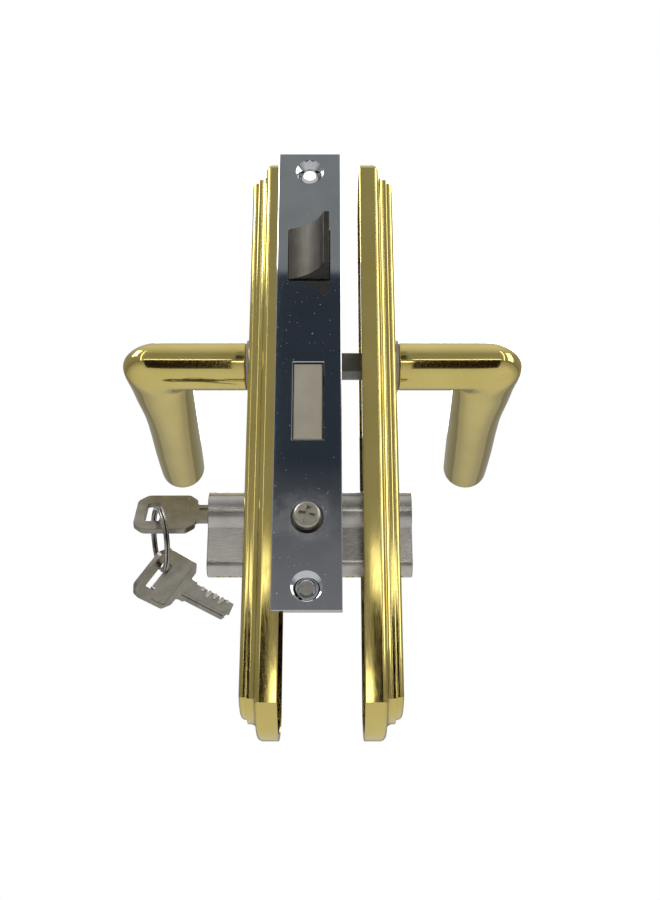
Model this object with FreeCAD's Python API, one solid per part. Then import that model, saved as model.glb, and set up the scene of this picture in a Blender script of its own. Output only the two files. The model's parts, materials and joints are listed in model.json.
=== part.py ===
import FreeCAD, Part
import math
import os

# Mortise lock set: lock case with forend, sprung latch, deadbolt, follower and spindle,
# double euro-profile cylinder with keys, and a stepped plate with a lever handle on each side.
# Frame, in mm: origin at the centre of the two forend screws on the forend's front face,
# -Y out of the door's edge, +Y into the door, X through the door's thickness, +Z up.
V = FreeCAD.Vector
os.makedirs("parts", exist_ok=True)

# ---------------------------------------------------------------- driving dimensions
backset = 55.0                 # forend face to the spindle and cylinder axes
spindle_z = 25.5
cylinder_z = spindle_z - 62.0

forend_width = 23.0
forend_height = 174.0
forend_thickness = 3.0
forend_screw_spacing = 158.0
forend_screw_hole_r = 2.4
forend_screw_sink_r = 5.15

case_half_width = 9.0
case_wall = 1.5
case_back_y = 80.0
case_half_height = 67.0
case_inner = case_half_width - case_wall

latch_width = 14.4
latch_height = 20.8
latch_z = spindle_z + 18.0
latch_throw = 12.0
latch_nose = 2.0
latch_head_back = 16.0
latch_rod_r = 2.5
latch_rod_z = latch_z + 5.0
bevel_radius = 16.0

bolt_width = 10.0
bolt_height = 28.4
bolt_z = -14.0
bolt_throw = 14.2
bolt_retract = 2.9
bolt_recess = 0.4

follower_turn = 45.0
follower_drum_r = 11.0
follower_journal_r = 8.95
follower_hole_r = 9.0
follower_arm_r = 15.7
follower_arm_tip_r = 3.0
follower_arm_half = 1.5
follower_spring_arm_r = 14.5
spindle_side = 8.0
square_gap = 0.1

euro_r = 8.5
euro_web = 10.0
euro_drop = 19.5
euro_half_length = 38.0
cam_slot_half = 5.2
plug_r = 6.5
plug_gap = 0.05
cam_r = 13.0
pin_r = 1.4
chamber_r = 1.5
pin_pitch = 4.5
pin_count = 5
first_pin_x = 33.0
key_turned = 36.0              # how far the left plug stands from its upright position

plate_width = 42.0
plate_top_z = 115.5
plate_bottom_z = -120.3
plate_arch_rise = 10.0
plate_thickness = 13.7
plate_left_x = -10.5
plate_right_x = 19.5
plate_hole_r = 8.05
plate_screw_r = 2.3
plate_screw_top_z = 95.0
plate_screw_bottom_z = -101.0

neck_r = 9.5
neck_washer_r = 10.35
neck_washer_thickness = 1.15
lever_projection = 51.0        # plate face to the elbow's outermost point
lever_reach = 119.0            # spindle axis to the grip's tip
lever_tail_r = 8.0
elbow_corner_r = 11.0
grip_half_height = 10.2
grip_inner = 24.6              # plate face to the grip's inner edge, beside the elbow
grip_tip_inner = 30.2
grip_outer_waist = 48.9        # plate face to the grip's outer edge where it is nearest
grip_tip_outer = 51.0
grip_tip_corner_r = 7.0

bow_length = 23.0
bow_height = 22.0
key_thickness = 2.2
neck_length = 5.0
blade_length = 29.0
blade_height = 8.2
bow_hole_near = 4.0
bow_hole_length = 5.5
bow_hole_height = 11.5

ring_mean_r = 11.4
ring_wire_r = 0.52
ring_wire_depth = 0.95


# ---------------------------------------------------------------- helpers
def box(x0, x1, y0, y1, z0, z1):
    return Part.makeBox(x1 - x0, y1 - y0, z1 - z0, V(x0, y0, z0))


def rod_x(y, z, r, x0, x1):
    return Part.makeCylinder(r, x1 - x0, V(x0, y, z), V(1, 0, 0))


def rod_y(x, z, r, y0, y1):
    return Part.makeCylinder(r, y1 - y0, V(x, y0, z), V(0, 1, 0))


def rod_z(x, y, r, z0, z1):
    return Part.makeCylinder(r, z1 - z0, V(x, y, z0), V(0, 0, 1))


def cone_y(x, z, r0, r1, y0, y1):
    return Part.makeCone(r0, r1, y1 - y0, V(x, y0, z), V(0, 1, 0))


def turned_x(shape, y, z, degrees):
    # Turns a shape about the line through (y, z) that runs along X.
    copy = shape.copy()
    copy.rotate(V(0, y, z), V(1, 0, 0), degrees)
    return copy


def mirrored_x(shape):
    return shape.mirror(V(0, 0, 0), V(1, 0, 0))


def shifted(shape, x=0.0, y=0.0, z=0.0):
    copy = shape.copy()
    copy.translate(V(x, y, z))
    return copy


def slab(points, x0, x1):
    # A flat solid whose outline in Y and Z is a closed polygon.
    outline = Part.makePolygon([V(x0, y, z) for y, z in points + points[:1]])
    return Part.Face(outline).extrude(V(x1 - x0, 0, 0))


def coil_spring(base, axis, mean_r, wire_r, length, turns):
    helix = Part.makeHelix(length / turns, length, mean_r)
    path = Part.Wire(helix.Edges)
    circle = Part.Circle(V(mean_r, 0, 0), V(0, 1, 0), wire_r)
    section = Part.Wire([circle.toShape()])
    spring = path.makePipeShell([section], True, True)
    spring.Placement = FreeCAD.Placement(base, FreeCAD.Rotation(V(0, 0, 1), axis))
    return spring


def coil_tube(base, axis, inner_r, wire_r, length):
    # A spring pressed until its coils touch: a tube with one round rib for each coil.
    coils = max(2, int(round(length / (2 * wire_r))))
    pitch = length / coils
    start = V(inner_r, 0, 0)
    edges = [Part.LineSegment(V(inner_r, 0, length), start).toShape()]
    waist = inner_r + wire_r
    crest = inner_r + 2 * wire_r
    edges.append(Part.LineSegment(start, V(waist, 0, 0)).toShape())
    for i in range(coils):
        low = V(waist, 0, i * pitch)
        mid = V(crest, 0, (i + 0.5) * pitch)
        high = V(waist, 0, (i + 1) * pitch)
        edges.append(Part.Arc(low, mid, high).toShape())
    edges.append(Part.LineSegment(V(waist, 0, length), V(inner_r, 0, length)).toShape())
    face = Part.Face(Part.Wire(Part.__sortEdges__(edges)))
    tube = face.revolve(V(0, 0, 0), V(0, 0, 1), 360)
    tube.Placement = FreeCAD.Placement(base, FreeCAD.Rotation(V(0, 0, 1), axis))
    return tube


def save(name, shape):
    solids = shape.Solids
    result = solids[0] if len(solids) == 1 else Part.makeCompound(solids)
    result.exportStep("parts/%s.step" % name)


# ---------------------------------------------------------------- lock case
def euro_profile(x0, x1, grow=0.0):
    # The euro cylinder's outline: a round barrel on a web with a round foot.
    barrel = rod_x(backset, cylinder_z, euro_r + grow, x0, x1)
    half_web = euro_web / 2 + grow
    foot_z = cylinder_z - euro_drop
    web = box(x0, x1, backset - half_web, backset + half_web, foot_z, cylinder_z)
    foot = rod_x(backset, foot_z, half_web, x0, x1)
    return barrel.fuse([web, foot]).removeSplitter()


pillar_inset = 5.5
pillar_places = [
    (y, z)
    for y in (forend_thickness + 7.0, case_back_y - pillar_inset)
    for z in (case_half_height - pillar_inset, pillar_inset - case_half_height)
]
pillar_r = 3.0
case_screw_r = 1.5
guide_post_y = 40.0
guide_post_z = bolt_z + 6.0
guide_post_r = 2.5
fixing_screw_z = cylinder_z - euro_drop


def wall_openings(x0, x1):
    follower = rod_x(backset, spindle_z, follower_hole_r, x0, x1)
    return [follower, euro_profile(x0, x1, 0.3)]


def lock_case():
    outer = box(-case_half_width, case_inner, forend_thickness, case_back_y,
                -case_half_height, case_half_height)
    inner = box(-case_inner, case_inner, forend_thickness + case_wall, case_back_y - case_wall,
                case_wall - case_half_height, case_half_height - case_wall)
    front_y0 = forend_thickness - 1.0
    front_y1 = forend_thickness + case_wall + 1.0
    half_latch = latch_width / 2 + 0.2
    tall_latch = latch_height / 2 + 0.2
    latch_window = box(-half_latch, half_latch, front_y0, front_y1, latch_z - tall_latch, latch_z + tall_latch)
    half_bolt = bolt_width / 2 + 0.3
    tall_bolt = bolt_height / 2 + 0.3
    bolt_window = box(-half_bolt, half_bolt, front_y0, front_y1, bolt_z - tall_bolt, bolt_z + tall_bolt)
    screw_hole = rod_y(0, fixing_screw_z, 2.8, front_y0, front_y1)
    walls = wall_openings(-case_half_width - 1, -case_inner + 1)
    return outer.cut([inner, latch_window, bolt_window, screw_hole] + walls)


def case_cover():
    plate = box(case_inner, case_half_width, forend_thickness, case_back_y, -case_half_height, case_half_height)
    holes = [rod_x(y, z, case_screw_r + 0.1, case_inner - 1, case_half_width + 1) for y, z in pillar_places]
    return plate.cut(holes + wall_openings(case_inner - 1, case_half_width + 1))


def case_pillars():
    posts = []
    for y, z in pillar_places:
        post = rod_x(y, z, pillar_r, -case_inner, case_inner)
        posts.append(post.cut(rod_x(y, z, case_screw_r, -case_inner + 3, case_inner + 1)))
    return Part.makeCompound(posts)


def case_screws():
    screws = []
    head_height = 1.2
    for y, z in pillar_places:
        shank = rod_x(y, z, case_screw_r - 0.05, -case_inner + 6, case_half_width)
        head = rod_x(y, z, 2.8, case_half_width, case_half_width + head_height)
        slot = box(case_half_width + 0.5, case_half_width + 2, y - 0.4, y + 0.4, z - 4, z + 4)
        screws.append(head.cut(slot).fuse(shank))
    return Part.makeCompound(screws)


def guide_posts():
    # One post guides the deadbolt's slotted tail, the other stops the follower's front arm.
    lean = math.radians(follower_turn / 2)
    out = follower_arm_tip_r + guide_post_r + 0.06
    stop_y = backset - follower_arm_r * math.sin(lean) - out * math.cos(lean)
    stop_z = spindle_z + follower_arm_r * math.cos(lean) - out * math.sin(lean)
    bolt_post = rod_x(guide_post_y, guide_post_z, guide_post_r, -case_inner, case_inner)
    stop_post = rod_x(stop_y, stop_z, guide_post_r, -case_inner, case_inner)
    return Part.makeCompound([bolt_post, stop_post])


def forend():
    plate = box(-forend_width / 2, forend_width / 2, 0, forend_thickness,
                -forend_height / 2, forend_height / 2)
    cuts = []
    for z in (-forend_screw_spacing / 2, forend_screw_spacing / 2):
        cuts.append(rod_y(0, z, forend_screw_hole_r, -1, forend_thickness + 1))
        depth = forend_screw_sink_r - forend_screw_hole_r - 0.6
        cuts.append(cone_y(0, z, forend_screw_sink_r, forend_screw_hole_r, 0, depth))
    half_latch = latch_width / 2 + 0.2
    tall_latch = latch_height / 2 + 0.2
    cuts.append(box(-half_latch, half_latch, -1, 4, latch_z - tall_latch, latch_z + tall_latch))
    half_bolt = bolt_width / 2 + 0.3
    tall_bolt = bolt_height / 2 + 0.3
    cuts.append(box(-half_bolt, half_bolt, -1, 4, bolt_z - tall_bolt, bolt_z + tall_bolt))
    cuts.append(rod_y(0, fixing_screw_z, 5.2, -1, forend_thickness + 1))
    return plate.cut(cuts)


# ---------------------------------------------------------------- latch
guide_y = 36.8
guide_thickness = 1.5
collar_y = 44.0
collar_r = 3.4
fork_y = 41.0
fork_thickness = 2.8
hook_y = 52.2
hook_thickness = 3.0
hook_bottom_z = spindle_z + 12.0
retractor_bottom_z = latch_rod_z - 5.0
retractor_top_z = latch_rod_z + 5.0


def latch_bolt():
    half = latch_width / 2
    head = box(-half, half, -latch_throw, latch_head_back,
               latch_z - latch_height / 2, latch_z + latch_height / 2)
    # The bevel is a hollow curve from the nose to the forend on the -X side.
    nose = V(half - latch_nose, -latch_throw, 0)
    root = V(-half, -0.5, 0)
    chord = root.sub(nose)
    middle = (nose + root) * 0.5
    outward = V(-chord.y, chord.x, 0)
    outward.normalize()
    if outward.y > 0:
        outward = outward * -1
    offset = math.sqrt(bevel_radius ** 2 - (chord.Length / 2) ** 2)
    centre = middle + outward * offset
    bevel = rod_z(centre.x, centre.y, bevel_radius, latch_z - 20, latch_z + 20)
    head = head.cut(bevel)
    return head


def latch_tail():
    rod = rod_y(0, latch_rod_z, latch_rod_r, latch_head_back, collar_y)
    collar = rod_y(0, latch_rod_z, collar_r, collar_y, collar_y + 2.8)
    return rod.fuse(collar).removeSplitter()


def latch_guide():
    plate = box(-case_inner, case_inner, guide_y, guide_y + guide_thickness,
                retractor_bottom_z, case_half_height - case_wall)
    return plate.cut(rod_y(0, latch_rod_z, latch_rod_r + 0.2, guide_y - 1, guide_y + 3))


def latch_retractor():
    fork = box(-6, 5.6, fork_y, fork_y + fork_thickness, retractor_bottom_z, retractor_top_z)
    side = box(3.6, 5.6, fork_y, hook_y + hook_thickness, retractor_bottom_z, retractor_top_z)
    hook = box(-4, 5.6, hook_y, hook_y + hook_thickness, hook_bottom_z, retractor_bottom_z)
    plate = fork.fuse([side, hook]).removeSplitter()
    return plate.cut(rod_y(0, latch_rod_z, latch_rod_r + 0.2, fork_y - 1, fork_y + 4))


def latch_spring():
    wire = 0.55
    length = guide_y - latch_head_back - 2 * wire - 0.1
    base = V(0, latch_head_back + wire + 0.05, latch_rod_z)
    return coil_spring(base, V(0, 1, 0), 3.6, wire, length, 6)


# ---------------------------------------------------------------- follower and spindle
def follower_arm(direction_degrees, reach):
    # An arm in the YZ plane; 0 points up, positive leans towards -Y.
    arm = box(-3, 3, backset - follower_arm_half, backset + follower_arm_half, spindle_z, spindle_z + reach)
    tip = rod_x(backset, spindle_z + reach, follower_arm_tip_r, -3, 3)
    return turned_x(arm.fuse(tip), backset, spindle_z, direction_degrees)


def follower():
    drum = rod_x(backset, spindle_z, follower_drum_r, -case_inner + 0.3, case_inner - 0.3)
    journal = rod_x(backset, spindle_z, follower_journal_r, -case_half_width, case_half_width)
    front_arm = follower_arm(follower_turn / 2, follower_arm_r)
    spring_arm = follower_arm(-90, follower_spring_arm_r)
    body = drum.fuse([journal, front_arm, spring_arm]).removeSplitter()
    half = spindle_side / 2 + square_gap
    square = box(-20, 20, backset - half, backset + half, spindle_z - half, spindle_z + half)
    return body.cut(square)


spindle_left_x = -45.0
spindle_right_x = 54.0


def spindle():
    half = spindle_side / 2
    bar = box(spindle_left_x, spindle_right_x, backset - half, backset + half, spindle_z - half, spindle_z + half)
    ends = [e for e in bar.Edges if abs(e.CenterOfMass.x - spindle_left_x) < 0.01
            or abs(e.CenterOfMass.x - spindle_right_x) < 0.01]
    return bar.makeChamfer(0.8, ends)


follower_spring_y = backset + follower_spring_arm_r
follower_spring_seat_z = 1.5


def follower_spring():
    wire = 0.5
    top = spindle_z - follower_arm_tip_r - 0.1
    length = top - follower_spring_seat_z - 2 * wire - 0.1
    base = V(0, follower_spring_y, follower_spring_seat_z + wire + 0.05)
    return coil_spring(base, V(0, 0, 1), 3.2, wire, length, 8)


def follower_spring_seat():
    return box(-case_inner, case_inner, follower_spring_y - 4, case_back_y - case_wall,
               follower_spring_seat_z - 1.5, follower_spring_seat_z)


# ---------------------------------------------------------------- deadbolt
bolt_tail_y0 = 34.0
bolt_tail_y1 = 66.0


def deadbolt():
    half = bolt_width / 2
    head = box(-half, half, bolt_recess, bolt_tail_y0, bolt_z - bolt_height / 2, bolt_z + bolt_height / 2)
    front = [e for e in head.Edges if abs(e.CenterOfMass.y - bolt_recess) < 0.01]
    head = head.makeChamfer(0.4, front)
    tail_bottom = cylinder_z + cam_r + 1.0
    tail = box(-1.5, 1.5, bolt_tail_y0, bolt_tail_y1, tail_bottom, bolt_z + 12)
    slot_r = guide_post_r + 0.2
    slot_y0 = guide_post_y - bolt_retract
    slot_y1 = guide_post_y + bolt_throw
    slot = box(-3, 3, slot_y0, slot_y1, guide_post_z - slot_r, guide_post_z + slot_r)
    slot_near = rod_x(slot_y0, guide_post_z, slot_r, -3, 3)
    slot_far = rod_x(slot_y1, guide_post_z, slot_r, -3, 3)
    return head.fuse(tail).cut([slot, slot_near, slot_far])


def bolt_leaf_spring():
    # A bent leaf held by the case's back wall; it presses on the top of the deadbolt's tail.
    top = bolt_z + 12.0
    leaf = 0.6
    rise = 1.2
    back = case_back_y - case_wall
    points = [(44, top + 0.1), (50, top + 0.1), (62, top + rise), (back, top + rise),
              (back, top + rise + leaf), (62, top + rise + leaf), (50, top + 0.1 + leaf), (44, top + 0.1 + leaf)]
    return slab(points, -3.5, 3.5)


# ---------------------------------------------------------------- cylinder
def pin_places(side):
    return [side * (first_pin_x - i * pin_pitch) for i in range(pin_count)]


def cylinder_body():
    body = euro_profile(-euro_half_length, euro_half_length)
    ends = [e for e in body.Edges if abs(abs(e.CenterOfMass.x) - euro_half_length) < 0.01]
    body = body.makeChamfer(0.35, ends)
    slot_bottom = cylinder_z - cam_r - 1.0
    cuts = [box(-cam_slot_half, cam_slot_half, backset - 10, backset + 10, slot_bottom, cylinder_z + 12)]
    cuts.append(rod_x(backset, cylinder_z, plug_r + plug_gap, -euro_half_length - 1, euro_half_length + 1))
    cuts.append(rod_y(0, fixing_screw_z, 2.5, backset - 10, backset + 10))
    foot_z = fixing_screw_z - euro_web / 2
    for x in pin_places(-1) + pin_places(1):
        cuts.append(rod_z(x, backset, chamber_r, foot_z - 1, cylinder_z))
    return body.cut(cuts)


keyway_half = key_thickness / 2 + 0.15
keyway_tall = blade_height / 2 + 0.2
keyway_end = 7.0


def plug(side, degrees):
    x0 = min(side * euro_half_length, side * (cam_slot_half + 0.1))
    x1 = max(side * euro_half_length, side * (cam_slot_half + 0.1))
    core = rod_x(backset, cylinder_z, plug_r, x0, x1)
    k0 = min(side * (euro_half_length + 1), side * keyway_end)
    k1 = max(side * (euro_half_length + 1), side * keyway_end)
    slot = box(k0, k1, backset - keyway_half, backset + keyway_half, cylinder_z - keyway_tall, cylinder_z + keyway_tall)
    holes = [rod_z(x, backset, chamber_r, cylinder_z - 10, cylinder_z - 1) for x in pin_places(side)]
    return turned_x(core.cut([slot] + holes), backset, cylinder_z, degrees)


def pin_group(side, bottom, tops, degrees=0.0):
    pins = [rod_z(x, backset, pin_r, cylinder_z + bottom, cylinder_z + top)
            for x, top in zip(pin_places(side), tops)]
    return turned_x(Part.makeCompound(pins), backset, cylinder_z, degrees)


shear_r = plug_r - 0.15
pin_cap_z = fixing_screw_z - euro_web / 2


def left_key_pins():
    return pin_group(-1, -shear_r, [-blade_height / 2 - 0.15] * pin_count, -key_turned)


def left_driver_pins():
    return pin_group(-1, -12.0, [-plug_r - 0.2] * pin_count)


def right_key_pins():
    return pin_group(1, -4.6, [-1.2 - 0.4 * (i % 3) for i in range(pin_count)])


def right_driver_pins():
    return pin_group(1, -10.4, [-4.7] * pin_count)


def pin_springs(side, driver_bottom):
    springs = []
    low = pin_cap_z + 1.6
    for x in pin_places(side):
        length = cylinder_z + driver_bottom - 0.1 - low
        springs.append(coil_tube(V(x, backset, low), V(0, 0, 1), 0.6, 0.35, length))
    return Part.makeCompound(springs)


def chamber_plugs():
    caps = []
    for x in pin_places(-1) + pin_places(1):
        cap = rod_z(x, backset, chamber_r, pin_cap_z + 0.3, pin_cap_z + 1.5)
        caps.append(cap)
    return Part.makeCompound(caps)


def cam():
    ring = rod_x(backset, cylinder_z, 8.0, -cam_slot_half + 0.2, cam_slot_half - 0.2)
    tooth = slab([(backset - 4.2, cylinder_z), (backset + 4.2, cylinder_z),
                  (backset + 2.6, cylinder_z - cam_r + 0.4), (backset - 2.6, cylinder_z - cam_r + 0.4)],
                 -cam_slot_half + 0.2, cam_slot_half - 0.2)
    hole = rod_x(backset, cylinder_z, 4.1, -10, 10)
    return turned_x(ring.fuse(tooth).removeSplitter().cut(hole), backset, cylinder_z, -key_turned)


def clutch():
    core = rod_x(backset, cylinder_z, 4.05, -cam_slot_half, cam_slot_half)
    half = 1.2
    cross = box(-cam_slot_half - 1, -cam_slot_half + 2, backset - half, backset + half, cylinder_z - 6, cylinder_z + 6)
    return turned_x(core.cut(cross), backset, cylinder_z, -key_turned)


def fixing_screw():
    head = rod_y(0, fixing_screw_z, 4.5, -4.0, -0.4)
    rim = [e for e in head.Edges if abs(e.CenterOfMass.y + 4.0) < 0.01]
    head = head.makeFillet(1.1, rim)
    neck = cone_y(0, fixing_screw_z, 4.5, 2.4, -0.4, 1.8)
    shank = rod_y(0, fixing_screw_z, 2.4, 1.8, backset + 5.5)
    screw = head.fuse([neck, shank]).removeSplitter()
    arm = 2.7
    thick = 0.65
    cross_a = box(-arm, arm, -5, -2.4, fixing_screw_z - thick, fixing_screw_z + thick)
    cross_b = box(-thick, thick, -5, -2.4, fixing_screw_z - arm, fixing_screw_z + arm)
    recess = cross_a.fuse(cross_b)
    recess.rotate(V(0, 0, fixing_screw_z), V(0, 1, 0), 14)
    return screw.cut(recess)


# ---------------------------------------------------------------- keys and split ring
def prism_y(outline, depth):
    # An XZ outline made solid, centred on the plane y = 0.
    face = Part.Face(outline)
    solid = face.extrude(V(0, depth, 0))
    solid.translate(V(0, -depth / 2, 0))
    return solid


def polygon_xz(points):
    return Part.makePolygon([V(x, 0, z) for x, z in points + points[:1]])


def key_blank():
    # Bow's outer end at x = 0, blade along +X, cuts on the -Z side, 2.2 mm thick along Y.
    half = bow_height / 2
    corner = 3.6
    half_blade = blade_height / 2
    bow = [(0.0, half - corner), (corner, half), (bow_length - 3.2, half), (bow_length, half - 3.2),
           (bow_length, half_blade + 1.2), (bow_length, -half_blade - 1.2), (bow_length, 3.2 - half),
           (bow_length - 3.2, -half), (corner, -half), (0.0, corner - half)]
    bow_solid = prism_y(polygon_xz(bow), key_thickness)
    corners = [e for e in bow_solid.Edges
               if abs(abs(e.Vertexes[0].Point.y - e.Vertexes[-1].Point.y) - key_thickness) < 0.01
               and (e.CenterOfMass.x < corner + 0.1 or abs(abs(e.CenterOfMass.z) - half) < 0.1)]
    bow_solid = bow_solid.makeFillet(2.2, corners)
    x0 = bow_length
    x1 = x0 + neck_length
    x2 = x1 + blade_length
    neck = [(x0 - 1, half_blade + 1.0), (x0 + 1.2, half_blade + 0.6), (x1 - 0.3, half_blade + 0.6),
            (x1 - 0.3, -half_blade - 0.6), (x0 + 1.2, -half_blade - 0.6), (x0 - 1, -half_blade - 1.0)]
    neck_solid = prism_y(polygon_xz(neck), key_thickness)
    blade = [(x1 - 0.5, half_blade), (x2 - 2.4, half_blade), (x2, half_blade - 3.4)]
    blade.append((x2 - 2.0, -half_blade))
    depths = (1.6, 3.0, 2.2, 3.2, 1.2)
    for i in reversed(range(pin_count)):
        x = x1 + (euro_half_length - first_pin_x) + i * pin_pitch
        low = depths[i] - half_blade
        run = 0.7 * depths[i] * 0.62
        blade.append((x + 0.55 + run, -half_blade))
        blade.append((x + 0.55, low))
        blade.append((x - 0.55, low))
        blade.append((x - 0.55 - run, -half_blade))
    blade.append((x1 - 0.5, -half_blade))
    blade_solid = prism_y(polygon_xz(blade), key_thickness - 0.1)
    key = bow_solid.fuse([neck_solid, blade_solid]).removeSplitter()
    hole = box(bow_hole_near, bow_hole_near + bow_hole_length, -5, 5, -bow_hole_height / 2, bow_hole_height / 2)
    uprights = [e for e in hole.Edges if abs(e.Vertexes[0].Point.y - e.Vertexes[-1].Point.y) > 5]
    hole = hole.makeFillet(0.9, uprights)
    cuts = [hole]
    surface = key_thickness / 2
    for side in (-1, 1):
        y0 = min(side * (surface - 0.25), side * (surface + 1))
        y1 = max(side * (surface - 0.25), side * (surface + 1))
        cuts.append(box(bow_hole_near + bow_hole_length + 1.6, bow_length - 3.4, y0, y1, -half + 1.8, half - 1.8))
        g0 = min(side * (surface - 0.65), side * (surface + 1))
        g1 = max(side * (surface - 0.65), side * (surface + 1))
        cuts.append(box(x0 + 1.0, x2 + 1, g0, g1, 1.1, 2.5))
    return key.cut(cuts)


key_1_x = -euro_half_length - neck_length - bow_length


def key_1():
    key = turned_x(key_blank(), 0, 0, -key_turned)
    key.translate(V(key_1_x, backset, cylinder_z))
    return key


# The second key hangs from the ring: where its bow's outer end is, which way its blade
# points and which way its cut edge faces.
key_2_base = V(-59.8, 51.2, -59.0)
key_2_blade = V(0.454, 0.888, -0.07)
key_2_cut_side = V(0.62, -0.258, 0.741)


def key_2():
    along = V(key_2_blade)
    along.normalize()
    up = key_2_cut_side * -1
    up = up - along * up.dot(along)
    up.normalize()
    across = up.cross(along)
    key = key_blank()
    key.Placement = FreeCAD.Placement(key_2_base, FreeCAD.Rotation(along, across, up, "XZY"))
    return key


def ring_ends():
    # Where the ring's wire passes through the two bows' holes.
    tilt = math.radians(key_turned)
    across = V(0, math.sin(tilt), math.cos(tilt))
    bow_centre = V(key_1_x + bow_hole_near + 2.6, backset, cylinder_z)
    top = bow_centre - across * (bow_hole_height / 2 - ring_wire_depth - 1.3)
    blade = V(key_2_blade)
    blade.normalize()
    low = key_2_base + blade * (bow_hole_near + ring_wire_depth + 1.5) + key_2_cut_side * 2.6
    return top, low


def split_ring():
    # Two turns of flat wire side by side; the wire's ends leave a step in each turn.
    top, low = ring_ends()
    chord = low - top
    towards_front = V(0.30, -0.95, 0)
    normal = chord.cross(towards_front)
    normal.normalize()
    inward = normal.cross(chord)
    inward.normalize()
    if inward.y > 0:
        inward = inward * -1
    centre = (top + low) * 0.5 + inward * math.sqrt(ring_mean_r ** 2 - (chord.Length / 2) ** 2)
    inner = ring_mean_r - ring_wire_depth
    outer = ring_mean_r + ring_wire_depth
    coils = []
    for side in (-1, 1):
        z0 = -2 * ring_wire_r if side < 0 else -0.02
        height = 2 * ring_wire_r + 0.02
        coil = Part.makeCylinder(outer, height, V(0, 0, z0))
        coil = coil.cut(Part.makeCylinder(inner, height + 2, V(0, 0, z0 - 1)))
        rims = [e for e in coil.Edges if e.Curve.TypeId == "Part::GeomCircle"]
        coil = coil.makeFillet(0.35, rims)
        start = 200 if side < 0 else 250
        gap = box(inner - 1, outer + 1, -0.6, 0.6, min(0.4 * side, 3 * side), max(0.4 * side, 3 * side))
        gap.rotate(V(0, 0, 0), V(0, 0, 1), start)
        coils.append(coil.cut(gap))
    ring = coils[0].fuse(coils[1]).removeSplitter()
    ring.Placement = FreeCAD.Placement(centre, FreeCAD.Rotation(V(0, 0, 1), normal))
    return ring


# ---------------------------------------------------------------- plates and levers
def plate_outline(inset, t):
    # The arched plate's outline, drawn in parallel inside the outermost one.
    half_width = plate_width / 2
    radius = (half_width ** 2 + plate_arch_rise ** 2) / (2 * plate_arch_rise)
    half = half_width - inset
    r = radius - inset
    rise = math.sqrt(r ** 2 - half ** 2)
    top_centre = plate_top_z - radius
    low_centre = plate_bottom_z + radius
    left_top = V(t, backset - half, top_centre + rise)
    right_top = V(t, backset + half, top_centre + rise)
    left_low = V(t, backset - half, low_centre - rise)
    right_low = V(t, backset + half, low_centre - rise)
    top = Part.Arc(left_top, V(t, backset, top_centre + r), right_top).toShape()
    low = Part.Arc(right_low, V(t, backset, low_centre - r), left_low).toShape()
    right = Part.LineSegment(right_top, right_low).toShape()
    left = Part.LineSegment(left_low, left_top).toShape()
    return Part.Wire([top, right, low, left])


def plate_layer(inset, t0, t1):
    return Part.Face(plate_outline(inset, t0)).extrude(V(t1 - t0, 0, 0))


bead_t = 7.8
bead_r = 2.2
cove_r = 2.7
groove_depth = 0.15
ridge_t = 11.2
cove_inset = 5.9
panel_inset = 7.4
panel_round = 1.9
profile_steps = 4


def quarter(steps):
    return [math.radians(90.0 * i / steps) for i in range(1, steps + 1)]


def plate_profile():
    # Inset and depth of each level: side wall, round bead, hollow cove, fine ridge, raised panel.
    levels = [(0.0, 0.0), (0.0, bead_t - bead_r)]
    for a in quarter(profile_steps):
        levels.append((bead_r * (1 - math.cos(a)), bead_t - bead_r * (1 - math.sin(a))))
    cove_start = cove_inset - cove_r
    cove_t = bead_t - groove_depth
    levels.append((cove_start, cove_t))
    for a in quarter(profile_steps):
        levels.append((cove_start + cove_r * math.sin(a), cove_t + cove_r * (1 - math.cos(a))))
    levels.append((cove_inset, ridge_t - 0.3))
    levels.append((cove_inset + 0.3, ridge_t))
    levels.append((panel_inset, ridge_t - groove_depth))
    levels.append((panel_inset, plate_thickness - panel_round))
    for a in quarter(profile_steps):
        depth = plate_thickness - panel_round * (1 - math.sin(a))
        levels.append((panel_inset + panel_round * (1 - math.cos(a)), depth))
    return levels


def plate_blank():
    wires = [plate_outline(inset, t) for inset, t in plate_profile()]
    body = Part.makeLoft(wires, True, True)
    hollow = [plate_layer(2.2, -1.0, 5.6), plate_layer(8.2, 5.0, 9.2)]
    return body.cut(hollow)


def plate():
    cuts = [rod_x(backset, spindle_z, plate_hole_r, -1, plate_thickness + 1)]
    cuts.append(euro_profile(-1, plate_thickness + 1, 0.5))
    for z in (plate_screw_top_z, plate_screw_bottom_z):
        cuts.append(rod_x(backset, z, plate_screw_r, -1, plate_thickness + 1))
        cuts.append(Part.makeCone(plate_screw_r, 4.4, 2.1, V(plate_thickness - 2.1, backset, z), V(1, 0, 0)))
    return plate_blank().cut(cuts)


def neck_washer():
    x0 = plate_thickness + 0.05
    ring = rod_x(backset, spindle_z, neck_washer_r, x0, x0 + neck_washer_thickness)
    rims = [e for e in ring.Edges if abs(e.CenterOfMass.x - x0 - neck_washer_thickness) < 0.01]
    ring = ring.makeChamfer(0.25, rims)
    return ring.cut(rod_x(backset, spindle_z, lever_tail_r + 0.1, 0, 40))


def section(inner, outer, half_up):
    # An elliptical section standing on the line from the inner to the outer edge point.
    centre = (inner + outer) * 0.5
    reach = outer - centre
    if reach.Length >= half_up:
        ellipse = Part.Ellipse(outer, centre + V(0, 0, half_up), centre)
    else:
        side = V(-reach.y, reach.x, 0)
        ellipse = Part.Ellipse(centre + V(0, 0, half_up), centre - reach, centre)
    return Part.Wire([ellipse.toShape()])


def elbow_outer(angle, corner_x, corner_y):
    # A point on the elbow's round outer corner; 0 faces the door's edge, 90 faces outwards.
    x = corner_x + elbow_corner_r * math.sin(angle)
    return V(x, corner_y - elbow_corner_r * math.cos(angle), spindle_z)


def ease(share):
    return share * share * (3 - 2 * share)


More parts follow.
